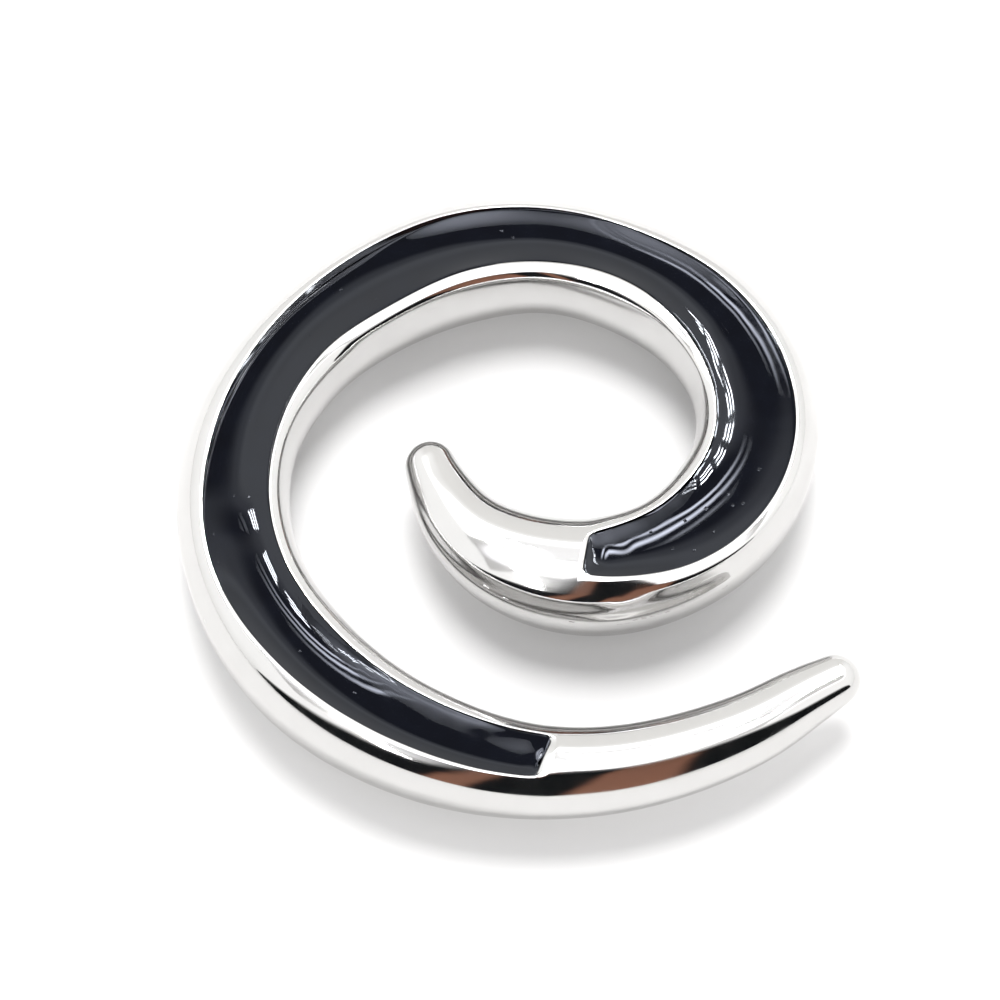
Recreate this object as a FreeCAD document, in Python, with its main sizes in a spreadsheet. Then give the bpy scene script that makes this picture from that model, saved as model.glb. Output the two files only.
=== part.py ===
import FreeCAD, Part
import Sketcher
import math
import os

# A spiral ear weight that lies flat: one cast steel rod with a sunken groove along its top, and the enamel in it.
# Millimetres. +X right and +Y far as the jewel lies, +Z up. The origin is below the middle of its outline,
# on the surface that it lies on. A bearing is counted from +X, seen from above, about the middle of the spiral.

Vector = FreeCAD.Vector
Placement = FreeCAD.Placement
Rotation = FreeCAD.Rotation

# The rod's stations from the outer tip, clockwise round the spiral, to the inner tip.
STATION_COLUMNS = ("bearing", "reach", "rod")
STATIONS = (
    (-42.4, 28.8, 4.0),
    (-48.0, 28.1, 4.8),
    (-56.0, 27.8, 5.5),
    (-67.5, 27.4, 6.1),
    (-90.0, 27.1, 7.0),
    (-112.5, 26.7, 8.4),
    (-135.0, 26.3, 9.4),
    (-157.5, 25.6, 8.9),
    (-180.0, 24.1, 8.5),
    (-202.5, 21.7, 8.5),
    (-225.0, 19.6, 9.0),
    (-247.5, 18.5, 9.4),
    (-270.0, 17.7, 8.8),
    (-292.5, 17.0, 8.9),
    (-315.0, 16.9, 9.2),
    (-337.5, 16.6, 9.3),
    (-360.0, 15.7, 9.6),
    (-382.5, 14.2, 9.7),
    (-405.0, 12.8, 9.2),
    (-427.5, 11.5, 9.1),
    (-450.0, 10.4, 8.7),
    (-472.5, 9.7, 7.8),
    (-495.0, 9.3, 6.4),
    (-515.0, 9.1, 5.2),
    (-533.0, 9.4, 4.1),
)

# The groove's stations from its outer end to its inner end: its width, its drift, which is how far its middle lies
# outward of the rod's, and the height of its rim above the rod's middle.
GROOVE_COLUMNS = ("turn", "width", "drift", "rim")
GROOVE_STATIONS = (
    (-91.5, 3.4, 0.1, 3.1),
    (-101.0, 3.9, 0.0, 3.3),
    (-112.5, 4.3, -0.1, 3.6),
    (-135.0, 5.0, -0.1, 4.0),
    (-157.5, 5.3, -0.1, 3.6),
    (-180.0, 4.7, -0.5, 3.5),
    (-202.5, 4.5, -0.3, 3.6),
    (-225.0, 5.1, -0.3, 3.7),
    (-247.5, 5.0, -0.3, 4.0),
    (-270.0, 4.7, -0.2, 3.7),
    (-292.5, 4.4, -0.2, 3.9),
    (-315.0, 5.1, -0.4, 3.8),
    (-337.5, 5.8, -0.4, 3.6),
    (-360.0, 6.2, -0.1, 3.7),
    (-382.5, 6.1, 0.2, 3.8),
    (-405.0, 5.4, 0.1, 3.7),
    (-420.0, 4.6, 0.0, 3.9),
    (-437.0, 3.6, 0.1, 4.1),
)

# Sizes that hold all along the jewel.
SIZES = {
    "middle_x": 2.78,          # the spiral's middle, from the origin
    "middle_y": 4.15,
    "axis_height": 4.88,       # the rod's middle above the surface that it lies on
    "groove_floor": 1.9,       # the groove's flat floor above the rod's middle
    "groove_top": 6.0,         # the cutter's top above the rod's middle, clear of the rod
    "enamel_gap": 0.05,        # between the enamel and the steel, at the floor, the walls and both ends
    "enamel_low": 0.2,         # from the rim down to the enamel along the walls
    "enamel_hollow": 0.6,      # how deep the enamel's top dips between the walls
    "outer_end_slant": -18.0,  # how far each end of the groove is turned from straight across, seen from above
    "inner_end_slant": -8.0,
}

document = FreeCAD.newDocument("ear_weight")
sheet = document.addObject("Spreadsheet::Sheet", "sizes")


def write_size(row, name, value):
    """One driving size: its name in column A, its number in column B under the same name."""
    sheet.set("A%d" % row, name)
    sheet.set("B%d" % row, str(value))
    sheet.setAlias("B%d" % row, name)


def write_sheet():
    """The single sizes first, then the two tables, a size per cell: rod_03 is the third station's rod."""
    entries = list(SIZES.items())
    for columns, table in ((STATION_COLUMNS, STATIONS), (GROOVE_COLUMNS, GROOVE_STATIONS)):
        for number, station in enumerate(table):
            entries += [("%s_%02d" % (column, number), value) for column, value in zip(columns, station)]
    for row, (name, value) in enumerate(entries, start=1):
        write_size(row, name, value)
    document.recompute()


def size(name):
    return float(getattr(sheet, name))


class Route:
    """The smooth line along the rod's middle, in the plane of its axis height."""

    def __init__(self):
        self.bearings = [size("bearing_%02d" % number) for number in range(len(STATIONS))]
        points = [self.point(bearing, size("reach_%02d" % number)) for number, bearing in enumerate(self.bearings)]
        self.curve = Part.BSplineCurve()
        self.curve.interpolate(points)
        self.places = [self.curve.parameter(point) for point in points]

    @staticmethod
    def point(bearing, reach):
        angle = math.radians(bearing)
        return Vector(size("middle_x") + reach * math.cos(angle), size("middle_y") + reach * math.sin(angle),
                      size("axis_height"))

    def place(self, bearing):
        """The curve's parameter where the route crosses a bearing, between two of its stations."""
        for number in range(1, len(self.bearings)):
            before, after = self.bearings[number - 1], self.bearings[number]
            if after <= bearing <= before:
                share = (before - bearing) / (before - after)
                return self.places[number - 1] + share * (self.places[number] - self.places[number - 1])
        raise ValueError("no station at bearing %s" % bearing)

    def along(self, place, distance):
        """The parameter a small distance further along the route."""
        return self.curve.parameterAtDistance(distance, place)

    def offset(self, place, slant=0.0):
        """A sketch's offset from the upright XZ plane: across the rod here, its X outward and its Y up."""
        point = self.curve.value(place)
        ahead = self.curve.tangent(place)[0]
        turn = math.degrees(math.atan2(ahead.y, ahead.x)) + 90 + slant
        return Placement(Vector(point.x, point.z, -point.y), Rotation(Vector(0, 1, 0), turn))


def add_body(label):
    body = document.addObject("PartDesign::Body", label)
    body.Label = label
    return body


def add_section(body, name, offset):
    """An empty sketch that stands across the rod."""
    sketch = body.newObject("Sketcher::SketchObject", name)
    upright = [plane for plane in body.Origin.OriginFeatures if plane.Role == "XZ_Plane"][0]
    sketch.AttachmentSupport = [(upright, "")]
    sketch.MapMode = "FlatFace"
    sketch.AttachmentOffset = offset
    sketch.Visibility = False
    return sketch


def bind(sketch, kind, geometry, point, value, expression):
    """A dimension that follows an expression: a radius, or the distance from the sketch's origin to a point."""
    if kind == "Radius":
        constraint = Sketcher.Constraint(kind, geometry, value)
    else:
        constraint = Sketcher.Constraint(kind, -1, 1, geometry, point, value)
    sketch.setExpression("Constraints[%d]" % sketch.addConstraint(constraint), expression)


def draw_rod(sketch, number):
    """The rod's round section at one of its stations."""
    radius = size("rod_%02d" % number) / 2
    sketch.addGeometry(Part.Circle(Vector(), Vector(0, 0, 1), radius))
    sketch.addConstraint(Sketcher.Constraint("Coincident", 0, 3, -1, 1))
    bind(sketch, "Radius", 0, None, radius, "sizes.rod_%02d / 2" % number)


def draw_lines(sketch, corners, closed):
    """Lines from corner to corner. A corner is its X and Y, and the expressions that drive them."""
    points = [Vector(x, y, 0) for x, y, across, up in corners]
    ends = points[1:] + points[:1] if closed else points[1:]
    for start, end in zip(points, ends):
        sketch.addGeometry(Part.LineSegment(start, end))
    last = len(ends) - 1
    for line in range(last):
        sketch.addConstraint(Sketcher.Constraint("Coincident", line, 2, line + 1, 1))
    if closed:
        sketch.addConstraint(Sketcher.Constraint("Coincident", last, 2, 0, 1))
    for number, (x, y, across, up) in enumerate(corners):
        line, point = (number, 1) if number <= last else (last, 2)
        bind(sketch, "DistanceX", line, point, x, across)
        bind(sketch, "DistanceY", line, point, y, up)


def end_slant(number):
    """The turn of a groove section from straight across: the two end sections have one."""
    slants = {0: "outer_end_slant", len(GROOVE_STATIONS) - 1: "inner_end_slant"}
    return size(slants[number]) if number in slants else 0.0


def draw_groove(sketch, number):
    """The groove's cutter at one of its stations: upright walls, from the floor to above the rod."""
    half, drift = size("width_%02d" % number) / 2, size("drift_%02d" % number)
    floor, top = size("groove_floor"), size("groove_top")
    inner = "sizes.drift_%02d - sizes.width_%02d / 2" % (number, number)
    outer = "sizes.drift_%02d + sizes.width_%02d / 2" % (number, number)
    draw_lines(sketch, (
        (drift - half, floor, inner, "sizes.groove_floor"),
        (drift + half, floor, outer, "sizes.groove_floor"),
        (drift + half, top, outer, "sizes.groove_top"),
        (drift - half, top, inner, "sizes.groove_top"),
    ), closed=True)


def draw_enamel(sketch, number):
    """The enamel's section: clear of the walls and the floor, its top hollowed to an arc between the walls."""
    gap, low, hollow = size("enamel_gap"), size("enamel_low"), size("enamel_hollow")
    half, drift = size("width_%02d" % number) / 2 - gap, size("drift_%02d" % number)
    floor, brim = size("groove_floor") + gap, size("rim_%02d" % number) - low
    inner = "sizes.drift_%02d - sizes.width_%02d / 2 + sizes.enamel_gap" % (number, number)
    outer = "sizes.drift_%02d + sizes.width_%02d / 2 - sizes.enamel_gap" % (number, number)
    bottom = "sizes.groove_floor + sizes.enamel_gap"
    side_top = "sizes.rim_%02d - sizes.enamel_low" % number
    draw_lines(sketch, (
        (drift - half, brim, inner, side_top),
        (drift - half, floor, inner, bottom),
        (drift + half, floor, outer, bottom),
        (drift + half, brim, outer, side_top),
    ), closed=False)
    radius = (half ** 2 + hollow ** 2) / (2 * hollow)
    middle = Vector(drift, brim - hollow + radius, 0)
    lean = math.asin(half / radius)
    circle = Part.Circle(middle, Vector(0, 0, 1), radius)
    arc = sketch.addGeometry(Part.ArcOfCircle(circle, 1.5 * math.pi - lean, 1.5 * math.pi + lean))
    sketch.addConstraint(Sketcher.Constraint("Coincident", arc, 1, 0, 1))
    sketch.addConstraint(Sketcher.Constraint("Coincident", arc, 2, arc - 1, 2))
    span = "(sizes.width_%02d / 2 - sizes.enamel_gap)" % number
    bind(sketch, "Radius", arc, None, radius,
         "(%s ^ 2 + sizes.enamel_hollow ^ 2) / (2 * sizes.enamel_hollow)" % span)


def add_loft(body, kind, name, sections):
    loft = body.newObject("PartDesign::" + kind, name)
    loft.Profile = sections[0]
    loft.Sections = sections[1:]
    document.recompute()
    return loft


def add_spiral_body(route):
    """The rod: round sections in a loft, a ball at each tip, and the groove cut along the top."""
    body = add_body("spiral_body")
    sections = []
    for number in range(len(STATIONS)):
        sketch = add_section(body, "rod_section_%02d" % number, route.offset(route.places[number]))
        draw_rod(sketch, number)
        sections.append(sketch)
    add_loft(body, "AdditiveLoft", "rod", sections)
    for name, number in (("outer_tip", 0), ("inner_tip", len(STATIONS) - 1)):
        ball = body.newObject("PartDesign::AdditiveSphere", name)
        ball.Placement = Placement(route.curve.value(route.places[number]), Rotation())
        ball.setExpression("Radius", "sizes.rod_%02d / 2" % number)
        document.recompute()
    cuts = []
    for number in range(len(GROOVE_STATIONS)):
        place = route.place(size("turn_%02d" % number))
        sketch = add_section(body, "groove_section_%02d" % number, route.offset(place, end_slant(number)))
        draw_groove(sketch, number)
        cuts.append(sketch)
    add_loft(body, "SubtractiveLoft", "groove", cuts)
    return body


def add_enamel_inlay(route):
    """The enamel: a loft through the groove's own stations, its two end faces a gap short of the groove's ends."""
    body = add_body("enamel_inlay")
    last = len(GROOVE_STATIONS) - 1
    sections = []
    for number in range(last + 1):
        place = route.place(size("turn_%02d" % number))
        if number == 0:
            place = route.along(place, size("enamel_gap"))
        if number == last:
            place = route.along(place, -size("enamel_gap"))
        sketch = add_section(body, "enamel_section_%02d" % number, route.offset(place, end_slant(number)))
        draw_enamel(sketch, number)
        sections.append(sketch)
    add_loft(body, "AdditiveLoft", "enamel", sections)
    return body


def check(bodies):
    """Stops at a failed object or a faulty shape, before anything is written."""
    for thing in document.Objects:
        if "Invalid" in thing.State or "Error" in thing.State:
            raise RuntimeError("%s failed: %s" % (thing.Name, thing.State))
    for body in bodies:
        shape = body.Shape
        if shape.isNull() or not shape.isValid() or len(shape.Solids) != 1:
            raise RuntimeError("%s has a faulty shape" % body.Label)


write_sheet()
route = Route()
bodies = [add_spiral_body(route), add_enamel_inlay(route)]
document.recompute()
check(bodies)
os.makedirs("parts", exist_ok=True)
for body in bodies:
    body.Shape.exportStep("parts/%s.step" % body.Label)
    box = body.Shape.optimalBoundingBox(False)
    print("%s: %.1f mm3, X %.3f to %.3f, Y %.3f to %.3f, Z %.3f to %.3f" % (
        body.Label, body.Shape.Volume, box.XMin, box.XMax, box.YMin, box.YMax, box.ZMin, box.ZMax))
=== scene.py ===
import math

import bmesh
import bpy
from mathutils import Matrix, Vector, noise


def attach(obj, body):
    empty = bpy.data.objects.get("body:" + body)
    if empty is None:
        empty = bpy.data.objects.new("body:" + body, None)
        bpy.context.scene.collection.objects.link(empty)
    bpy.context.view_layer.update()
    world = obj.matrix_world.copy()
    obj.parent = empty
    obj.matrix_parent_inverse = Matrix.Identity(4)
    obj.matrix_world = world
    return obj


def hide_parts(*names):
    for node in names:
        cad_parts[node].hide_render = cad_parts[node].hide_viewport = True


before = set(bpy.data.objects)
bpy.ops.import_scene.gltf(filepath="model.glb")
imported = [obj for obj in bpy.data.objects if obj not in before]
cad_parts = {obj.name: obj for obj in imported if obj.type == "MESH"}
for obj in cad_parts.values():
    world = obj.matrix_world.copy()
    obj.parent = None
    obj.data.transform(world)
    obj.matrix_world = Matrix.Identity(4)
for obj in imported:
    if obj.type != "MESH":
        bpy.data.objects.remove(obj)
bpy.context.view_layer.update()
MM = 0.001

# Spiral body
# A stainless steel rod, cast as a flat spiral, with a round tail at each end. Its top is sunk between the tails to
# hold enamel. It is polished bright by hand from above, and its lower side keeps the skin of the casting, with the
# parting line above it.

SPIRAL_MIDDLE = Vector((2.78, 4.15, 4.88)) * MM      # the middle of the spiral, at the height of the rod's middle

# bearing about the spiral's middle in degrees, reach from it and rod diameter in mm, from the outer tip inward
ROD = (
    (-42.4, 28.8, 4.0), (-48.0, 28.1, 4.8), (-56.0, 27.8, 5.5), (-67.5, 27.4, 6.1), (-90.0, 27.1, 7.0),
    (-112.5, 26.7, 8.4), (-135.0, 26.3, 9.4), (-157.5, 25.6, 8.9), (-180.0, 24.1, 8.5), (-202.5, 21.7, 8.5),
    (-225.0, 19.6, 9.0), (-247.5, 18.5, 9.4), (-270.0, 17.7, 8.8), (-292.5, 17.0, 8.9), (-315.0, 16.9, 9.2),
    (-337.5, 16.6, 9.3), (-360.0, 15.7, 9.6), (-382.5, 14.2, 9.7), (-405.0, 12.8, 9.2), (-427.5, 11.5, 9.1),
    (-450.0, 10.4, 8.7), (-472.5, 9.7, 7.8), (-495.0, 9.3, 6.4), (-515.0, 9.1, 5.2), (-533.0, 9.4, 4.1),
)

# the groove in the rod's top: bearing, width, how far its middle lies outward, rim height over the rod's middle
GROOVE = (
    (-91.5, 3.4, 0.1, 3.1), (-101.0, 3.9, 0.0, 3.3), (-112.5, 4.3, -0.1, 3.6), (-135.0, 5.0, -0.1, 4.0),
    (-157.5, 5.3, -0.1, 3.6), (-180.0, 4.7, -0.5, 3.5), (-202.5, 4.5, -0.3, 3.6), (-225.0, 5.1, -0.3, 3.7),
    (-247.5, 5.0, -0.3, 4.0), (-270.0, 4.7, -0.2, 3.7), (-292.5, 4.4, -0.2, 3.9), (-315.0, 5.1, -0.4, 3.8),
    (-337.5, 5.8, -0.4, 3.6), (-360.0, 6.2, -0.1, 3.7), (-382.5, 6.1, 0.2, 3.8), (-405.0, 5.4, 0.1, 3.7),
    (-420.0, 4.6, 0.0, 3.9), (-437.0, 3.6, 0.1, 4.1),
)
OUTER_END, INNER_END = GROOVE[0][0], GROOVE[-1][0]
END_SLANTS = {OUTER_END: 18, INNER_END: 8}      # the groove's ends lie askew: their outer corners lie further ahead
GROOVE_FLOOR = 1.9 * MM          # over the rod's middle
RIM_DEPTH = 0.3 * MM             # how far down the wall its crisp top edge reaches
RIM_CRISP = 0.9
LIP = 0.75 * MM                  # the bright facet ground at the groove's outer end
LIP_CORNER = 0.55                # the share of it at the groove's two corners
NEAR_END = 6 * MM                # within this, an end's slant decides what belongs to the groove
RING_CORNERS = 24
WORKED_CORNERS = range(-5, 6)    # those of a ring's corners that may stand off the circle
RING_STEP = 1.8 * MM             # between two rings along the rod
TIP_TURNS = (7, 20, 36, 54, 74)  # where the rings of a round tip lie, in degrees from its point
FINE_STEPS = 400                 # in how many steps a stretch of the rod is measured
SAME_PLACE = 0.02 * MM           # within this, two corners of a cage are the same one

# where the grinding left the rod other than round: from and to bearing, which corner of the ring, counted from the
# top towards the outside, and how much further out it stands in mm
FLATS = (
    (-43, -100, -1, 0.03), (-43, -100, 0, 0.10), (-43, -100, 1, 0.14), (-43, -100, 2, 0.05),
    (-43, -100, 3, -0.08), (-43, -100, 4, -0.13), (-43, -100, 5, -0.07),
    (-96, -440, -4, 0.12), (-96, -440, -3, 0.22), (-96, -430, 3, 0.18), (-96, -430, 4, 0.08),
    (-205, -345, -3, 0.14), (-205, -345, -4, -0.03), (-100, -440, 5, 0.10), (-356, -430, 3, 0.10),
    (-356, -430, 4, -0.18), (-446, -522, -1, 0.05), (-446, -522, 0, 0.08), (-446, -522, 1, 0.05),
)
FLAT_FADE = 12                   # over how many degrees a ground place runs out

# the flat band on the inner tail's outer side, between two bearings: the ring's corner at each of its edges, that
# edge's lean in degrees from the top, and how much further out it stands in mm
BAND_START, BAND_END = -424, -516
BAND_EDGES = ((3, 50, 0.10), (4, 66, -0.12))

# the rod's crisp lines: from and to bearing, the ring's corner, and how crisp. They are the band's two edges, two
# shoulders that the wheel ground tighter, and the casting's parting line.
CRISP_LINES = (
    (BAND_START, BAND_END, 3, 0.75), (BAND_START, BAND_END, 4, 0.75),
    (-205, -345, -3, 0.30), (-356, -422, 3, 0.60), (-100, -440, 5, 0.85),
)


def read_between(table, bearing):
    """A table's other columns at a bearing, on a smooth curve through its rows."""
    falling = table[-1][0] < table[0][0]
    last = len(table) - 2
    place = next((i for i in range(last) if (bearing >= table[i + 1][0]) == falling), last)
    rows = [table[min(max(place + step, 0), last + 1)] for step in (-1, 0, 1, 2)]
    span = rows[2][0] - rows[1][0]
    share = (bearing - rows[1][0]) / span
    values = []
    for column in range(1, len(table[0])):
        points = [(row[0], row[column]) for row in rows]
        slopes = []
        for before, after in ((points[0], points[2]), (points[1], points[3])):
            slopes.append((after[1] - before[1]) / (after[0] - before[0]) * span if after[0] != before[0] else 0.0)
        start, end = points[1][1], points[2][1]
        values.append(
            start * (2 * share ** 3 - 3 * share ** 2 + 1) + slopes[0] * (share ** 3 - 2 * share ** 2 + share)
            + end * (3 * share ** 2 - 2 * share ** 3) + slopes[1] * (share ** 3 - share ** 2))
    return values


def rod_middle(bearing):
    reach = read_between(ROD, bearing)[0] * MM
    turn = math.radians(bearing)
    return SPIRAL_MIDDLE + Vector((math.cos(turn), math.sin(turn), 0)) * reach


def rod_ahead(bearing):
    """The rod's direction there, clockwise round the spiral."""
    low, high = max(bearing - 0.5, ROD[-1][0]), min(bearing + 0.5, ROD[0][0])
    return (rod_middle(low) - rod_middle(high)).normalized()


def rod_outward(bearing):
    ahead = rod_ahead(bearing)
    return Vector((-ahead.y, ahead.x, 0))


def rod_ring(bearing):
    """A ring of the rod: its middle, its outward direction, its radius and its bearing."""
    return rod_middle(bearing), rod_outward(bearing), read_between(ROD, bearing)[1] / 2 * MM, bearing


def ring_bearings(start, end, step):
    """Bearings from start to end, evenly spaced along the rod at about one step."""
    fine = [start + (end - start) * i / FINE_STEPS for i in range(FINE_STEPS + 1)]
    reached = [0.0]
    for before, after in zip(fine, fine[1:]):
        reached.append(reached[-1] + (rod_middle(after) - rod_middle(before)).length)
    count = max(1, round(reached[-1] / step))
    found = []
    for number in range(count + 1):
        wanted = reached[-1] * number / count
        nearest = min(range(FINE_STEPS + 1), key=lambda i: abs(reached[i] - wanted))
        found.append(fine[nearest])
    return found


def turn_about_z(angle, centre):
    """Turns what is selected anticlockwise, seen from above. With no window the operator turns the other way."""
    bpy.ops.transform.rotate(value=-angle, orient_axis="Z", center_override=centre)


def turn_between(before, after):
    """The angle from one level direction to another, anticlockwise."""
    turn = math.atan2(after.y, after.x) - math.atan2(before.y, before.x)
    return (turn + math.pi) % math.tau - math.pi


def select_by(test, kind):
    """Selects the vertices, edges or faces that pass a test on their place, and nothing else."""
    mesh = bmesh.from_edit_mesh(bpy.context.object.data)
    for parts in (mesh.faces, mesh.edges, mesh.verts):
        for part in parts:
            part.select_set(False)
    mesh.select_mode = {kind}
    if kind == "VERT":
        chosen = [corner for corner in mesh.verts if test(corner.co)]
    elif kind == "EDGE":
        chosen = [edge for edge in mesh.edges if test(edge.verts[0].co, edge.verts[1].co)]
    else:
        chosen = [face for face in mesh.faces if test(face.calc_center_median())]
    for part in chosen:
        part.select_set(True)
    mesh.select_flush_mode()
    bmesh.update_edit_mesh(bpy.context.object.data)


# the rings run from the outer tip to the inner one, with one at each end of the groove
rings = [rod_ring(bearing) for start, end in ((ROD[0][0], OUTER_END), (OUTER_END, INNER_END))
         for bearing in ring_bearings(start, end, RING_STEP)[:-1]]
rings += [rod_ring(bearing) for bearing in ring_bearings(INNER_END, ROD[-1][0], RING_STEP)]

first_middle, first_outward, first_radius, first_bearing = rings[0]
last_middle, last_outward, last_radius, last_bearing = rings[-1]
outer_end, inner_end = -rod_ahead(first_bearing), rod_ahead(last_bearing)
for turn in reversed(TIP_TURNS):
    lean = math.radians(turn)
    rings.insert(0, (first_middle + outer_end * first_radius * math.cos(lean), first_outward,
                     first_radius * math.sin(lean), first_bearing))
    rings.append((last_middle + inner_end * last_radius * math.cos(lean), last_outward,
                  last_radius * math.sin(lean), last_bearing))

# the smoothing pulls a ring in, so the cage's rings are this much larger
RING_SWELL = 3 / (2 + math.cos(math.tau / RING_CORNERS))
LEAN_STEP = 360 / RING_CORNERS

bpy.ops.object.select_all(action="DESELECT")
middle, outward, radius = rings[0][:3]
bpy.ops.mesh.primitive_circle_add(vertices=RING_CORNERS, radius=radius * RING_SWELL, location=middle,
                                  rotation=(math.pi / 2, 0, math.atan2(outward.y, outward.x)))
body = bpy.context.object
body.name = body.data.name = "ear_weight_steel"
bpy.ops.object.transform_apply(location=True, rotation=True, scale=True)
bpy.ops.object.mode_set(mode="EDIT")
bpy.ops.mesh.select_all(action="SELECT")
for before, after in zip(rings, rings[1:]):
    bpy.ops.mesh.extrude_region_move(TRANSFORM_OT_translate={"value": after[0] - before[0]})
    turn_about_z(turn_between(before[1], after[1]), after[0])
    bpy.ops.transform.resize(value=(after[2] / before[2],) * 3, center_override=after[0])


def ring_corner(ring, lean, further=0.0):
    """The point on a ring of the cage, counted from its top towards the outside, in degrees."""
    middle, outward, radius = ring[:3]
    lean = math.radians(lean)
    return middle + (outward * math.sin(lean) + Vector((0, 0, math.cos(lean)))) * (radius * RING_SWELL + further)


def groove_walls(ring):
    """Where the groove's inner and outer walls meet a ring, in degrees from its top."""
    width, drift = (value * MM for value in read_between(GROOVE, ring[3])[:2])
    reach = ring[2] * RING_SWELL
    return math.degrees(math.asin((drift - width / 2) / reach)), math.degrees(math.asin((drift + width / 2) / reach))


def move_point(place, target):
    """Moves the cage's corners at one place to another."""
    select_by(lambda corner: (corner - place).length < SAME_PLACE, "VERT")
    bpy.ops.transform.translate(value=target - place)


# the ground places and the band are set out on the rings between the tips
plain_rings = rings[len(TIP_TURNS):-len(TIP_TURNS)]
corners = {}                     # where a ring's corner stands, if it isn't on the circle


def further_out(ring, corner):
    """How much further out than the circle a ring's corner stands."""
    total = 0.0
    for start, end, place, further in FLATS:
        if place == corner and end <= ring[3] <= start:
            total += further * MM * min(1.0, (start - ring[3]) / FLAT_FADE, (ring[3] - end) / FLAT_FADE)
    return total


def corner_place(ring, corner):
    """Where a ring's corner stands."""
    return corners.get((ring[3], corner), ring_corner(ring, corner * LEAN_STEP))


for ring in plain_rings:
    for corner in WORKED_CORNERS:
        if further_out(ring, corner):
            corners[ring[3], corner] = ring_corner(ring, corner * LEAN_STEP, further_out(ring, corner))
    if BAND_END <= ring[3] <= BAND_START:
        for corner, lean, further in BAND_EDGES:
            corners[ring[3], corner] = ring_corner(ring, lean, further * MM)


def by_groove(ring):
    """Whether a ring stands at the groove or at one of its ends."""
    return INNER_END - 0.01 <= ring[3] <= OUTER_END + 0.01


# the corners beside the groove go to its walls, and their neighbours are spaced between
groove_rings = [ring for ring in rings if by_groove(ring)]
for ring in groove_rings:
    for side, wall in zip((-1, 1), groove_walls(ring)):
        corners[ring[3], side] = ring_corner(ring, wall / 2)
        corners[ring[3], side * 2] = ring_corner(ring, wall)
        if not BAND_END <= ring[3] <= BAND_START or side < 0:
            shoulder = (wall + side * 4 * LEAN_STEP) / 2
            corners[ring[3], side * 3] = ring_corner(ring, shoulder, further_out(ring, side * 3))

# the groove's two ends lie askew, and the shoulder beside each goes half as far
for ring in (groove_rings[0], groove_rings[-1]):
    slope = math.tan(math.radians(END_SLANTS[ring[3]]))
    for corner in range(-3, 4):
        place = corner_place(ring, corner)
        across = (place - ring[0]).dot(ring[1])
        corners[ring[3], corner] = place + rod_ahead(ring[3]) * across * slope * (1.0 if abs(corner) < 3 else 0.5)
for ring in plain_rings:
    for corner in WORKED_CORNERS:
        if (ring[3], corner) in corners:
            move_point(ring_corner(ring, corner * LEAN_STEP), corners[ring[3], corner])


def end_side(ring, place):
    """How far ahead of one end of the groove a place lies, measured from the end's slant."""
    across = (place - ring[0]).dot(ring[1])
    return (place - ring[0]).dot(rod_ahead(ring[3])) - across * math.tan(math.radians(END_SLANTS[ring[3]]))


def on_groove(place):
    """Whether a face of the rod lies over the groove."""
    ring = min(rings, key=lambda ring: (ring[0] - place).length)
    if not by_groove(ring):
        return False
    for end, sign in ((groove_rings[0], -1), (groove_rings[-1], 1)):
        if (place - end[0]).length < NEAR_END and sign * end_side(end, place) > 0:
            return False
    offset = place - ring[0]
    lean = math.degrees(math.atan2(offset.dot(ring[1]), offset.z))
    inner, outer = groove_walls(ring)
    return offset.z > 0 and inner < lean < outer


select_by(on_groove, "FACE")
bpy.ops.mesh.region_to_loop()
bpy.ops.transform.edge_crease(value=RIM_CRISP)
select_by(on_groove, "FACE")
bpy.ops.mesh.extrude_region_move(TRANSFORM_OT_translate={"value": (0, 0, -RIM_DEPTH)})
bpy.ops.mesh.extrude_region_move(TRANSFORM_OT_translate={"value": (0, 0, -RIM_DEPTH)})
bpy.ops.transform.resize(value=(1, 1, 0), center_override=SPIRAL_MIDDLE + Vector((0, 0, GROOVE_FLOOR)))
bpy.ops.mesh.region_to_loop()
bpy.ops.transform.edge_crease(value=RIM_CRISP)

# the lip: the end edge on the rod's skin goes back into the tail, and the wall below it stays
lip_ring = groove_rings[0]
for corner in range(-2, 3):
    place = corner_place(lip_ring, corner)
    back = rod_ahead(lip_ring[3]) * LIP * (LIP_CORNER if abs(corner) == 2 else 1.0)
    move_point(place, place - back)

for start, end, corner, crisp in CRISP_LINES:
    line = [corner_place(ring, corner) for ring in plain_rings if end <= ring[3] <= start]
    select_by(lambda *ends: all(any((point - place).length < SAME_PLACE for place in line) for point in ends), "EDGE")
    bpy.ops.transform.edge_crease(value=crisp)

# the two points are closed: a tenth beyond its own reach, a ring's edges are the only ones
for ring in (rings[0], rings[-1]):
    reach = ring[2] * RING_SWELL * 1.1
    select_by(lambda a, b: (a - ring[0]).length < reach and (b - ring[0]).length < reach, "EDGE")
    bpy.ops.mesh.fill_grid(span=RING_CORNERS // 4)
bpy.ops.mesh.select_all(action="SELECT")
bpy.ops.mesh.normals_make_consistent(inside=False)
bpy.ops.object.mode_set(mode="OBJECT")
bpy.ops.object.modifier_add(type="SUBSURF")
body.modifiers[0].levels = body.modifiers[0].render_levels = 2
bpy.ops.object.modifier_apply(modifier=body.modifiers[0].name)

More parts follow.
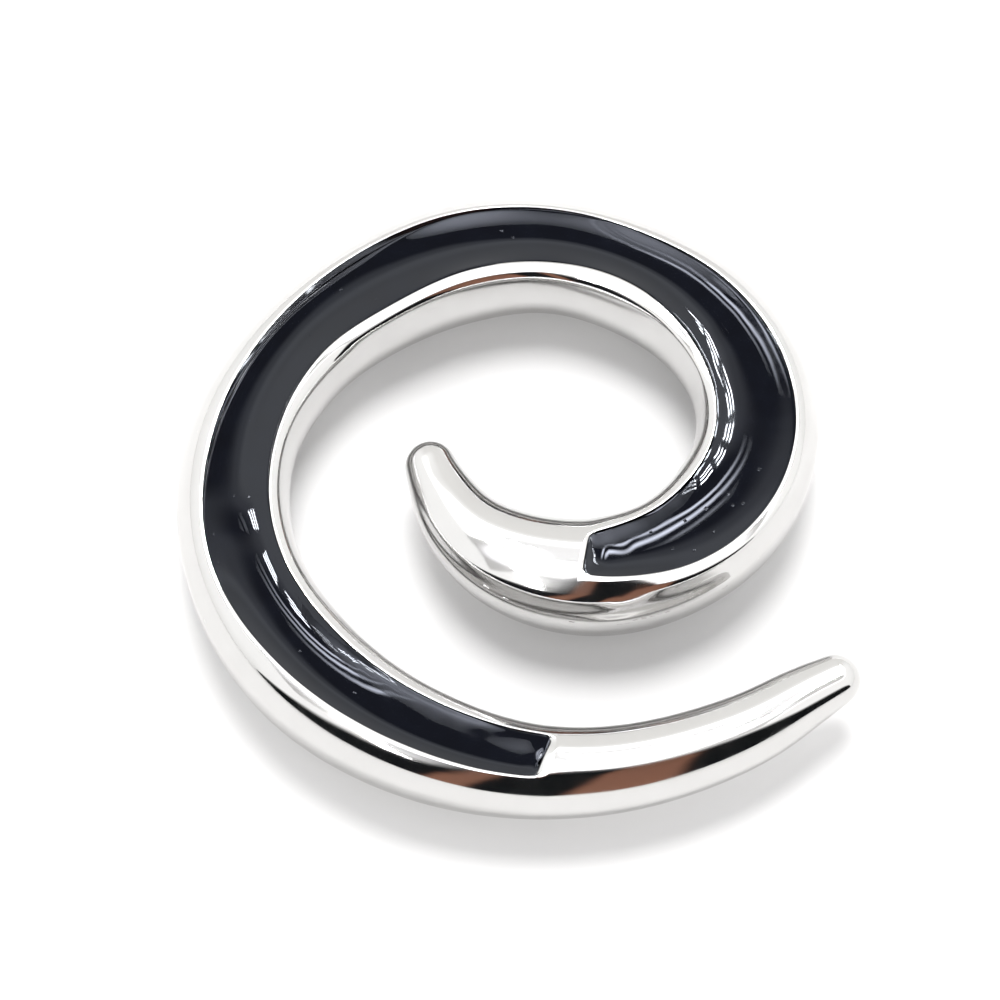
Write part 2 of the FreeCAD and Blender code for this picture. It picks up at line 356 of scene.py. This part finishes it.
# pits and a cold shut that the casting kept on its outer side: bearing, lean from the top in degrees, width in mm
PITS = (
    (-441, 76, 0.24), (-398, 80, 0.36), (-428, 80, 0.22), (-425, 79, 0.20),
    (-423, 78.5, 0.26), (-421, 78.5, 0.28), (-419, 78, 0.24), (-416, 77, 0.20), (-413.5, 76, 0.26), (-410, 75, 0.18),
    (-462, 68, 0.24), (-471, 66, 0.30), (-486, 60, 0.22), (-150, 72, 0.22), (-121, 78, 0.20), (-262, 66, 0.18),
)
PIT_SLOPE = 0.3                  # how far a pit's wall leans in and goes down, as a share of its width
bpy.ops.object.mode_set(mode="EDIT")
for bearing, lean, width in PITS:
    place = ring_corner(rod_ring(bearing), lean)
    mesh = bmesh.from_edit_mesh(body.data)
    nearest = min(mesh.faces, key=lambda face: (face.calc_center_median() - place).length)
    centre = nearest.calc_center_median()
    select_by(lambda point: (point - centre).length < SAME_PLACE / 2, "FACE")
    bpy.ops.mesh.inset(thickness=0.5 * (nearest.calc_area() ** 0.5 - width * MM), use_boundary=True)
    bpy.ops.mesh.inset(thickness=width * PIT_SLOPE * MM, depth=-width * PIT_SLOPE * MM)
bpy.ops.object.mode_set(mode="OBJECT")
bpy.ops.object.shade_smooth()


def add_material(name, *things):
    """A new material on one or more objects: its node tree and its shader."""
    material = bpy.data.materials.new(name)
    material.use_nodes = True
    for thing in things:
        thing.data.materials.append(material)
    return material.node_tree, material.node_tree.nodes["Principled BSDF"]


def add_noise(tree, place, scale, detail):
    """A noise texture, read at a place."""
    node = tree.nodes.new("ShaderNodeTexNoise")
    node.inputs["Scale"].default_value = scale
    node.inputs["Detail"].default_value = detail
    tree.links.new(place, node.inputs["Vector"])
    return node.outputs["Fac"]


def add_range(tree, value, source, target=(0.0, 1.0), soft=False):
    """A value carried from one range to another, of which an end may itself be a socket."""
    node = tree.nodes.new("ShaderNodeMapRange")
    if soft:
        node.interpolation_type = "SMOOTHSTEP"
    for name, end in zip(("From Min", "From Max", "To Min", "To Max"), (*source, *target)):
        if isinstance(end, bpy.types.NodeSocket):
            tree.links.new(end, node.inputs[name])
        else:
            node.inputs[name].default_value = end
    tree.links.new(value, node.inputs["Value"])
    return node.outputs["Result"]


def add_bump(tree, height, distance):
    """A bump of full strength from a height, this far from its lowest to its highest."""
    node = tree.nodes.new("ShaderNodeBump")
    node.inputs["Strength"].default_value = 1.0
    node.inputs["Distance"].default_value = distance
    tree.links.new(height, node.inputs["Height"])
    return node


def add_mix(tree, share, low, high):
    """A colour between two colours, each written out or a socket."""
    node = tree.nodes.new("ShaderNodeMix")
    node.data_type = "RGBA"
    tree.links.new(share, node.inputs["Factor"])
    for name, colour in (("A", low), ("B", high)):
        if isinstance(colour, bpy.types.NodeSocket):
            tree.links.new(colour, node.inputs[name])
        else:
            node.inputs[name].default_value = (*colour, 1)
    return node.outputs["Result"]


def add_math(tree, operation, *values):
    """A sum done on values, each a number or a socket."""
    node = tree.nodes.new("ShaderNodeMath")
    node.operation = operation
    for socket, value in zip(node.inputs, values):
        if isinstance(value, bpy.types.NodeSocket):
            tree.links.new(value, socket)
        else:
            socket.default_value = value
    return node.outputs["Value"]


def split_place(tree, place):
    """The three coordinates of a place."""
    node = tree.nodes.new("ShaderNodeSeparateXYZ")
    tree.links.new(place, node.inputs["Vector"])
    return node.outputs


SKIN_HEIGHTS = (5.2 * MM, 3.2 * MM)      # between these the polished top turns into the casting's skin
STEEL_BRIGHT, STEEL_WIPED = (0.595, 0.59, 0.583), (0.545, 0.54, 0.53)
WANDER_DEEP = 0.007 * MM                 # how far the polisher's hand wandered
GRAIN_DEEP = 0.012 * MM
POLISH_ROUGHNESS, SKIN_ROUGHNESS = (0.05, 0.13), 0.24

tree, shader = add_material("polished_cast_steel", body)
place = tree.nodes.new("ShaderNodeTexCoord").outputs["Object"]
skin = add_range(tree, split_place(tree, place)["Z"], SKIN_HEIGHTS, soft=True)
# the hand's wander, long and soft, and below it the casting's grain
wander = add_bump(tree, add_noise(tree, place, scale=260, detail=1.0), WANDER_DEEP)
grain = add_bump(tree, add_noise(tree, place, scale=2400, detail=3.0), GRAIN_DEEP)
tree.links.new(skin, grain.inputs["Strength"])
tree.links.new(wander.outputs["Normal"], grain.inputs["Normal"])
tree.links.new(grain.outputs["Normal"], shader.inputs["Normal"])
# duller where the wheel didn't reach, and in faint wiped patches
wipe = add_noise(tree, place, scale=420, detail=4.0)
polish = add_range(tree, wipe, (0.3, 0.8), POLISH_ROUGHNESS)
tree.links.new(add_range(tree, skin, (0.0, 1.0), (polish, SKIN_ROUGHNESS)), shader.inputs["Roughness"])
tree.links.new(add_mix(tree, wipe, STEEL_BRIGHT, STEEL_WIPED), shader.inputs["Base Color"])
shader.inputs["Metallic"].default_value = 1.0

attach(body, "root")
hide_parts("spiral_body")

# Enamel inlay
# Black enamel, poured in the groove and cured. It creeps up the steel at the walls and at both ends, it ran a little
# to one side or the other before it set, and some air stayed in it.

ENAMEL_CLEAR = 0.02 * MM         # between the enamel and the steel
ENAMEL_LOW = 0.08 * MM           # from the rim down to the enamel's edge
ENAMEL_STEP = 0.6 * MM           # between two rows along the groove
ENAMEL_COLUMNS = 14
CROWDING = 0.3                   # how much the columns crowd at the edges
ENAMEL_WALL = 0.1 * MM           # how far its crisp side reaches down before it goes to the floor
SKEW_REACH = 2.6 * MM            # over how long a stretch a slanting end runs out
END_DEPTH = 0.06                 # the share of its depth that the enamel has at the very end
CREEP = 0.38 * MM                # over how long a stretch the enamel rises to the groove's ends

# how deep the top lies below its inner edge, in mm: bearing, a quarter across, half, three quarters, the outer edge
POUR = (
    (-91.0, 0.18, 0.34, 0.38, 0.05), (-112.0, 0.20, 0.38, 0.42, 0.03), (-128.0, 0.34, 0.52, 0.48, 0.04),
    (-146.0, 0.46, 0.62, 0.52, 0.04), (-155.0, 0.48, 0.66, 0.60, 0.42), (-163.0, 0.50, 0.74, 0.76, 0.66),
    (-171.0, 0.44, 0.78, 0.88, 0.82), (-200.0, 0.40, 0.76, 0.90, 0.84), (-225.0, 0.38, 0.70, 0.82, 0.76),
    (-246.0, 0.38, 0.60, 0.56, 0.20), (-262.0, 0.38, 0.60, 0.42, -0.02), (-310.0, 0.40, 0.58, 0.42, 0.0),
    (-330.0, 0.40, 0.58, 0.46, 0.08), (-345.0, 0.42, 0.60, 0.52, 0.18), (-362.0, 0.42, 0.60, 0.55, 0.32),
    (-380.0, 0.42, 0.58, 0.54, 0.34), (-405.0, 0.42, 0.58, 0.50, 0.22), (-437.0, 0.36, 0.50, 0.40, 0.05),
)

# the inner wall's meniscus, which dried in ripples: from and to bearing, its height and its ripples' in mm
MENISCUS = ((-97.0, -166.0, 0.16, 0.060), (-322.0, -426.0, 0.05, 0.020))
MENISCUS_REACH = 0.28 * MM
MENISCUS_FADE = 6                # over how many degrees it runs out
RIPPLE_LENGTH = 0.6 * MM
RIPPLE_MIDDLE, RIPPLE_REACH = -0.84, 0.20    # how far across the ripples lie, and how far to each side they reach
EVEN_SPAN = 18                   # the enamel's middle is level over this many degrees of the rim's rise and fall


def enamel_row(bearing):
    """The middle of the enamel's edge line there, its outward direction, its half width and its bearing."""
    width, drift, rim = (value * MM for value in read_between(GROOVE, bearing))
    outward = rod_outward(bearing)
    middle = rod_middle(bearing) + outward * drift + Vector((0, 0, rim - ENAMEL_LOW))
    return middle, outward, width / 2 - ENAMEL_CLEAR, bearing


def column_share(column):
    """How far across a column lies, from -1 at the inner edge to 1 at the outer."""
    even = 2 * column / ENAMEL_COLUMNS - 1
    return even * (1 + CROWDING - CROWDING * even ** 2)


def enamel_depth(row, share, place):
    """How far the enamel's top lies below its edge line at a point across a row."""
    depths = read_between(POUR, row[3])
    section = tuple(zip((-1.0, -0.5, 0.0, 0.5, 1.0), (0.0, *depths)))
    depth = read_between(section, share)[0] * MM
    bearings = [min(OUTER_END, max(INNER_END, row[3] + EVEN_SPAN * step / 4)) for step in range(-4, 5)]
    level = sum(read_between(GROOVE, bearing)[2] for bearing in bearings) / len(bearings)
    depth += (read_between(GROOVE, row[3])[2] - level) * MM * (1 - share ** 4)
    for start, end, height, ripple in MENISCUS:
        if end < row[3] < start:
            fade = min(1.0, (start - row[3]) / MENISCUS_FADE, (row[3] - end) / MENISCUS_FADE) * MM
            depth += height * fade * (1 - math.exp(-(1 + share) * row[2] / MENISCUS_REACH)) * (1 - share) / 2
            beside = max(0.0, 1 - abs(share - RIPPLE_MIDDLE) / RIPPLE_REACH)
            depth += ripple * fade * noise.noise(place / RIPPLE_LENGTH) * beside
    return depth


def creep(row):
    """How much of its depth the enamel has there: it rises towards the two ends of the groove."""
    distance = min((row[0] - end[0]).length for end in (rows[0], rows[-1]))
    return END_DEPTH + (1 - END_DEPTH) * (1 - math.exp(-(distance / CREEP) ** 1.5))


# the rows crowd at both ends, where the enamel creeps up
along = ring_bearings(OUTER_END - 0.1, INNER_END + 0.1, ENAMEL_STEP)
fine_start = [along[0] + (along[1] - along[0]) * share for share in (0.0, 0.25, 0.5, 0.75)]
fine_end = [along[-1] + (along[-2] - along[-1]) * share for share in (0.75, 0.5, 0.25, 0.0)]
rows = [enamel_row(bearing) for bearing in fine_start + along[1:-1] + fine_end]

bpy.ops.object.select_all(action="DESELECT")
middle, outward, half = rows[0][:3]
bpy.ops.mesh.primitive_grid_add(x_subdivisions=ENAMEL_COLUMNS, y_subdivisions=1, size=2 * half, location=middle,
                                rotation=(0, 0, math.atan2(outward.y, outward.x)))
inlay = bpy.context.object
inlay.name = inlay.data.name = "ear_weight_enamel"
bpy.ops.object.transform_apply(location=True, rotation=True, scale=True)
bpy.ops.object.mode_set(mode="EDIT")
ahead = Vector((outward.y, -outward.x, 0))
select_by(lambda corner: (corner - middle).dot(ahead) < 0, "VERT")
bpy.ops.mesh.delete(type="VERT")
bpy.ops.mesh.select_all(action="SELECT")
bpy.ops.transform.translate(value=ahead * -half)
for column in range(1, ENAMEL_COLUMNS):
    even = 2 * column / ENAMEL_COLUMNS - 1
    move_point(middle + outward * half * even, middle + outward * half * column_share(column))
bpy.ops.mesh.select_all(action="SELECT")
for before, after in zip(rows, rows[1:]):
    bpy.ops.mesh.extrude_edges_move(TRANSFORM_OT_translate={"value": after[0] - before[0]})
    turn_about_z(turn_between(before[1], after[1]), after[0])
    bpy.ops.transform.resize(value=(after[2] / before[2], after[2] / before[2], 1), center_override=after[0])

# both ends are set askew as the groove's ends are
for end in (rows[0], rows[-1]):
    slope = math.tan(math.radians(END_SLANTS[OUTER_END if end is rows[0] else INNER_END]))
    for column in range(ENAMEL_COLUMNS + 1):
        for row in rows:
            distance = (row[0] - end[0]).length
            if distance < SKEW_REACH:
                across = row[2] * column_share(column)
                place = row[0] + row[1] * across
                fade = 1 - (distance / SKEW_REACH) ** 2
                move_point(place, place + Vector((row[1].y, -row[1].x, 0)) * across * slope * fade)

# the top sinks between its edges
mesh = bmesh.from_edit_mesh(inlay.data)
for corner in mesh.verts:
    row = min(rows, key=lambda row: (row[0] - corner.co).length)
    share = max(-1.0, min(1.0, (corner.co - row[0]).dot(row[1]) / row[2]))
    corner.co.z -= enamel_depth(row, share, corner.co) * creep(row)
bmesh.update_edit_mesh(inlay.data)
bpy.ops.mesh.select_all(action="SELECT")
for down in (ENAMEL_WALL, 4 * ENAMEL_WALL):
    bpy.ops.mesh.extrude_region_move(TRANSFORM_OT_translate={"value": (0, 0, -down)})
bpy.ops.transform.resize(value=(1, 1, 0),
                         center_override=SPIRAL_MIDDLE + Vector((0, 0, GROOVE_FLOOR + ENAMEL_CLEAR)))
bpy.ops.mesh.select_all(action="SELECT")
bpy.ops.mesh.normals_make_consistent(inside=False)
bpy.ops.object.mode_set(mode="OBJECT")
bpy.ops.object.modifier_add(type="SUBSURF")
inlay.modifiers[0].levels = inlay.modifiers[0].render_levels = 1
bpy.ops.object.modifier_apply(modifier=inlay.modifiers[0].name)

# air that rose while the enamel cured left pin bubbles: bearing, how far across, and width in mm
BUBBLES = (
    (-411.0, -0.50, 0.46), (-398.0, -0.29, 0.50), (-406.2, 0.26, 0.50), (-383.0, 0.26, 0.40), (-381.2, 0.42, 0.46),
    (-370.2, 0.35, 0.44), (-380.8, -0.03, 0.30), (-389.2, -0.22, 0.24), (-401.0, 0.58, 0.28), (-393.0, 0.40, 0.24),
    (-257.8, 0.36, 0.28), (-260.8, 0.06, 0.44), (-184.2, 0.04, 0.40), (-168.0, 0.0, 0.30), (-167.8, -0.41, 0.42),
    (-161.5, 0.74, 0.34), (-156.2, 0.76, 0.26), (-206.2, -0.16, 0.28), (-217.8, 0.48, 0.34), (-222.2, -0.60, 0.28),
    (-124.0, 0.0, 0.26), (-136.0, 0.1, 0.24),
)
BUBBLE_EDGE, BUBBLE_SLOPE = 0.03 * MM, 0.05 * MM     # the ring round a bubble, and its skirt and its burst top
BUBBLE_RISE, BUBBLE_PIT = 0.10, 0.12                 # as shares of its width
BUBBLE_FACES = 0.36                                  # as a share of its width, how far the faces lie that rise
bpy.ops.object.mode_set(mode="EDIT")
for bearing, share, width in BUBBLES:
    middle, outward, half = enamel_row(bearing)[:3]
    place = middle + outward * half * share
    mesh = bmesh.from_edit_mesh(inlay.data)
    upper = [face for face in mesh.faces if face.normal.z > 0.5]
    nearest = min(upper, key=lambda face: (face.calc_center_median() - place).xy.length).calc_center_median()
    top = nearest.z - 0.2 * MM
    reach = width * BUBBLE_FACES * MM
    select_by(lambda centre: centre.z > top and (centre - nearest).xy.length < reach, "FACE")
    bpy.ops.mesh.inset(thickness=BUBBLE_EDGE)
    bpy.ops.mesh.inset(thickness=BUBBLE_SLOPE, depth=width * BUBBLE_RISE * MM)
    bpy.ops.mesh.inset(thickness=BUBBLE_SLOPE, depth=-width * BUBBLE_PIT * MM)
bpy.ops.object.mode_set(mode="OBJECT")
bpy.ops.object.shade_smooth_by_angle(angle=math.radians(50))

ENAMEL_BLACK, ENAMEL_MILKY = (0.0008, 0.0008, 0.0015), (0.002, 0.0026, 0.005)
ENAMEL_ROUGHNESS = (0.02, 0.07)
ENAMEL_SWELL = 0.004 * MM

tree, shader = add_material("black_enamel", inlay)
shader.inputs["Specular IOR Level"].default_value = 0.42
shader.inputs["Specular Tint"].default_value = (0.86, 0.91, 1.0, 1)
place = tree.nodes.new("ShaderNodeTexCoord").outputs["Object"]
cloud = add_noise(tree, place, scale=500, detail=3.0)
tree.links.new(add_mix(tree, cloud, ENAMEL_BLACK, ENAMEL_MILKY), shader.inputs["Base Color"])
tree.links.new(add_range(tree, cloud, (0.35, 0.75), ENAMEL_ROUGHNESS), shader.inputs["Roughness"])
swell = add_bump(tree, add_noise(tree, place, scale=380, detail=1.0), ENAMEL_SWELL)
tree.links.new(swell.outputs["Normal"], shader.inputs["Normal"])

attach(inlay, "root")
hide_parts("enamel_inlay")

# The table and the light
# A white table in a photo box. The box's ceiling is dull, with soft strips, a soft panel towards the front and two
# banks of small lamps. In front the box is open, and the dark room there shows in the polished steel.

bpy.ops.mesh.primitive_plane_add(size=3.0, location=(0, 0, 0))
table = bpy.context.object
table.name = "white_table"
shader = add_material("white_paper", table)[1]
shader.inputs["Base Color"].default_value = (0.64, 0.636, 0.634, 1)
shader.inputs["Roughness"].default_value = 1.0
shader.inputs["Specular IOR Level"].default_value = 0.0

# the box's light from the horizon up, behind the jewel and at its sides: height in the sky from 0 to 1, and colour
BACK = (
    (0.00, (0.66, 0.655, 0.645)), (0.58, (0.70, 0.695, 0.685)), (0.72, (0.86, 0.86, 0.86)),
    (0.80, (0.52, 0.52, 0.53)), (0.87, (0.10, 0.10, 0.11)),
)
SIDES = (
    (0.00, (0.76, 0.76, 0.755)), (0.40, (0.84, 0.84, 0.84)), (0.72, (0.86, 0.86, 0.86)),
    (0.80, (0.52, 0.52, 0.53)), (0.87, (0.10, 0.10, 0.11)),
)
SKY_LIGHT = 1.9                  # what the colours are a share of
SIDE_START, SIDE_WHOLE = 0.30, 0.65      # how far aside a direction points when the sides begin and when they rule
world = bpy.data.worlds.new("photo_box")
bpy.context.scene.world = world
world.use_nodes = True


def colour_ramp(tree, value, stops):
    """A colour read off soft stops, each a position and a colour."""
    ramp = tree.nodes.new("ShaderNodeValToRGB")
    ramp.color_ramp.interpolation = "EASE"
    while len(ramp.color_ramp.elements) < len(stops):
        ramp.color_ramp.elements.new(0.5)
    for element, (position, colour) in zip(ramp.color_ramp.elements, stops):
        element.position = position
    for element, (position, colour) in zip(ramp.color_ramp.elements, stops):
        element.color = (*colour, 1)
    tree.links.new(value, ramp.inputs["Fac"])
    return ramp.outputs["Color"]


tree = world.node_tree
aim = split_place(tree, tree.nodes.new("ShaderNodeTexCoord").outputs["Generated"])
aside = add_range(tree, add_math(tree, "ABSOLUTE", aim["X"]), (SIDE_START, SIDE_WHOLE), soft=True)
sky = add_mix(tree, aside, colour_ramp(tree, aim["Z"], BACK), colour_ramp(tree, aim["Z"], SIDES))
tree.links.new(sky, tree.nodes["Background"].inputs["Color"])
tree.nodes["Background"].inputs["Strength"].default_value = SKY_LIGHT


def show_in_gloss_alone(thing):
    """A card of the box is seen in glossy surfaces, and nowhere else."""
    thing.visible_camera = thing.visible_shadow = thing.visible_diffuse = False


# the dark room: how high it reaches, seen from the table, in degrees by bearing from straight in front
ROOM_TOP = (
    (-72, 4), (-60, 19), (-50, 30), (-38, 41), (-30, 46), (-22, 50), (-15, 54), (-7, 58),
    (0, 60), (8, 60), (15, 59), (22, 58), (30, 56), (38, 53), (45, 48), (52, 40), (60, 28), (68, 12),
)
ROOM_AWAY = 0.40
ROOM_BOTTOM = 0.02
ROOM_SOFT = 0.34                 # the share of its height over which its top edge fades
bpy.ops.mesh.primitive_grid_add(x_subdivisions=len(ROOM_TOP) - 1, y_subdivisions=2, size=2,
                                location=(0, -ROOM_AWAY, 0), rotation=(math.pi / 2, 0, 0))
room = bpy.context.object
room.name = "dark_room"
bpy.ops.object.transform_apply(location=True, rotation=True, scale=True)
fade = room.data.attributes.new("fade", "FLOAT", "POINT")
for corner in room.data.vertices:
    column = round((corner.co.x + 1) / 2 * (len(ROOM_TOP) - 1))
    step = round(corner.co.z + 1)
    bearing, climb = (math.radians(value) for value in ROOM_TOP[column])
    away = ROOM_AWAY / math.cos(bearing)
    top = away * math.tan(climb)
    corner.co.x = ROOM_AWAY * math.tan(bearing)
    corner.co.z = (ROOM_BOTTOM, top * (1 - ROOM_SOFT), top * (1 + ROOM_SOFT / 2))[step]
    fade.data[corner.index].value = (0.0, 0.0, 1.0)[step]
show_in_gloss_alone(room)

# two brown hangings in it, the right one askew: how far across they lie, and their colour
BLACK, BROWN = (0.006, 0.007, 0.008), (0.22, 0.105, 0.07)
HANGINGS = (
    (0.0, BLACK), (0.27, BLACK), (0.31, BROWN), (0.35, BROWN), (0.38, BLACK), (0.50, BLACK),
    (0.53, BROWN), (0.66, BROWN), (0.71, BLACK),
)
ACROSS = (-0.45, 0.55)           # from where to where, in metres, that is counted
HANGING_SWAY, HANGING_LEAN = 0.05, -0.25
tree, shader = add_material("dark_room_paint", room)
shader.inputs["Roughness"].default_value = 1.0
shader.inputs["Specular IOR Level"].default_value = 0.0
place = tree.nodes.new("ShaderNodeTexCoord").outputs["Object"]
where = split_place(tree, place)
blotch = add_noise(tree, place, scale=4, detail=2)
sway = add_math(tree, "MULTIPLY_ADD", blotch, HANGING_SWAY, where["X"])
lean = add_math(tree, "MULTIPLY_ADD", where["Z"], HANGING_LEAN, sway)
tree.links.new(colour_ramp(tree, add_range(tree, lean, ACROSS), HANGINGS), shader.inputs["Base Color"])
edge = tree.nodes.new("ShaderNodeAttribute")
edge.attribute_name = "fade"
tree.links.new(add_range(tree, edge.outputs["Fac"], (0.0, 1.0), (1.0, 0.0), soft=True), shader.inputs["Alpha"])

CEILING = 0.45
STRIP_COLOUR = (0.93, 0.93, 1, 1)
# the soft strips and the panel: name, glow, middle, size
STRIPS = (
    ("left_strip_1", 26, (-0.175, 0.07, CEILING), (0.026, 0.32)),
    ("left_strip_2", 26, (-0.135, 0.07, CEILING), (0.026, 0.32)),
    ("left_strip_3", 18, (-0.095, 0.05, CEILING), (0.024, 0.30)),
    ("right_strip_1", 22, (0.060, 0.08, CEILING), (0.024, 0.30)),
    ("right_strip_2", 34, (0.10, 0.10, CEILING), (0.026, 0.32)),
    ("right_strip_3", 30, (0.140, 0.10, CEILING), (0.026, 0.32)),
    ("front_soft_panel", 6.0, (-0.04, -0.13, CEILING), (1.00, 0.34)),
)


def add_card(name, middle, size):
    """A level card over the jewel."""
    bpy.ops.mesh.primitive_plane_add(size=1.0, location=middle)
    card = bpy.context.object
    card.name = name
    card.scale = (*size, 1)
    show_in_gloss_alone(card)
    return card


for name, brightness, middle, size in STRIPS:
    strip = add_card(name, middle, size)
    tree, shader = add_material(name + "_glow", strip)
    shader.inputs["Emission Color"].default_value = STRIP_COLOUR
    # brightest in its middle, and dark at its edge
    wide = tree.nodes.new("ShaderNodeMapping")
    wide.inputs["Scale"].default_value = (2, 2, 2)
    tree.links.new(tree.nodes.new("ShaderNodeTexCoord").outputs["Object"], wide.inputs["Vector"])
    soft = tree.nodes.new("ShaderNodeTexGradient")
    soft.gradient_type = "SPHERICAL"
    tree.links.new(wide.outputs["Vector"], soft.inputs["Vector"])
    strength = add_math(tree, "MULTIPLY", soft.outputs["Fac"], brightness)
    tree.links.new(strength, shader.inputs["Emission Strength"])

# two banks of small lamps, each of three rows: x, and from y to y
LAMP_BANKS = ((-0.29, -0.45, 0.18), (0.29, -0.06, 0.50))
LAMPS = 8                        # in a row
LAMP_APART, LAMP_SIZE, LAMP_GLOW = 0.030, (0.010, 0.054), 90
lamps = [
    add_card("lamp_%d_%d_%d" % (bank, row, number),
             (x + (row - 1) * LAMP_APART, near + (far - near) * number / (LAMPS - 1), CEILING), LAMP_SIZE)
    for bank, (x, near, far) in enumerate(LAMP_BANKS) for row in range(3) for number in range(LAMPS)
]
shader = add_material("lamp_glow", *lamps)[1]
shader.inputs["Emission Color"].default_value = (1, 1, 1, 1)
shader.inputs["Emission Strength"].default_value = LAMP_GLOW


def add_area_light(name, shape, size, power, location, tilt=0):
    """An area light that looks down, or is tilted up from there by some degrees."""
    bpy.ops.object.light_add(type="AREA", location=location, rotation=(math.radians(tilt), 0, 0))
    light = bpy.context.object
    light.name = name
    light.data.shape = shape
    light.data.size, light.data.size_y = size
    light.data.energy = power
    return light


# two lights that show in no reflection: one overhead, and the window's
overhead = add_area_light("overhead_light", "DISK", size=(0.36, 0.36), power=4.6, location=(0.0, 0.24, 0.50))
window = add_area_light("window_light", "DISK", size=(0.5, 0.5), power=3.6, location=(0.0, -0.55, 0.16), tilt=74)
overhead.visible_glossy = window.visible_glossy = False

# the steel alone sees the white cloth over the box
CLOTH_SIZE = (1.2, 0.88)
CLOTH_GLOW = 1.42                # its radiance
shown = bpy.data.collections.new("seen_by_the_steel")
shown.objects.link(body)
cloth = add_area_light("white_cloth", "RECTANGLE", size=CLOTH_SIZE,
                       power=CLOTH_GLOW * math.pi * CLOTH_SIZE[0] * CLOTH_SIZE[1], location=(0.0, 0.09, 0.55))
cloth.light_linking.receiver_collection = shown
bpy.context.scene.view_settings.view_transform = "Standard"

# The view
# The photograph's view: 62 degrees above the surface, from the near side.

VIEW_TILT = math.radians(62)
VIEW_AIM = Vector((-1.22, 0.15, 4.88)) * MM
VIEW_DISTANCE = 384.6 * MM
VIEW_LENS, VIEW_SENSOR = 180, 36

bpy.ops.object.camera_add(
    location=VIEW_AIM + VIEW_DISTANCE * Vector((0, -math.cos(VIEW_TILT), math.sin(VIEW_TILT))),
    rotation=(math.pi / 2 - VIEW_TILT, 0, 0))
camera = bpy.context.object
camera.data.lens = VIEW_LENS
camera.data.sensor_width = VIEW_SENSOR
bpy.context.scene.camera = camera
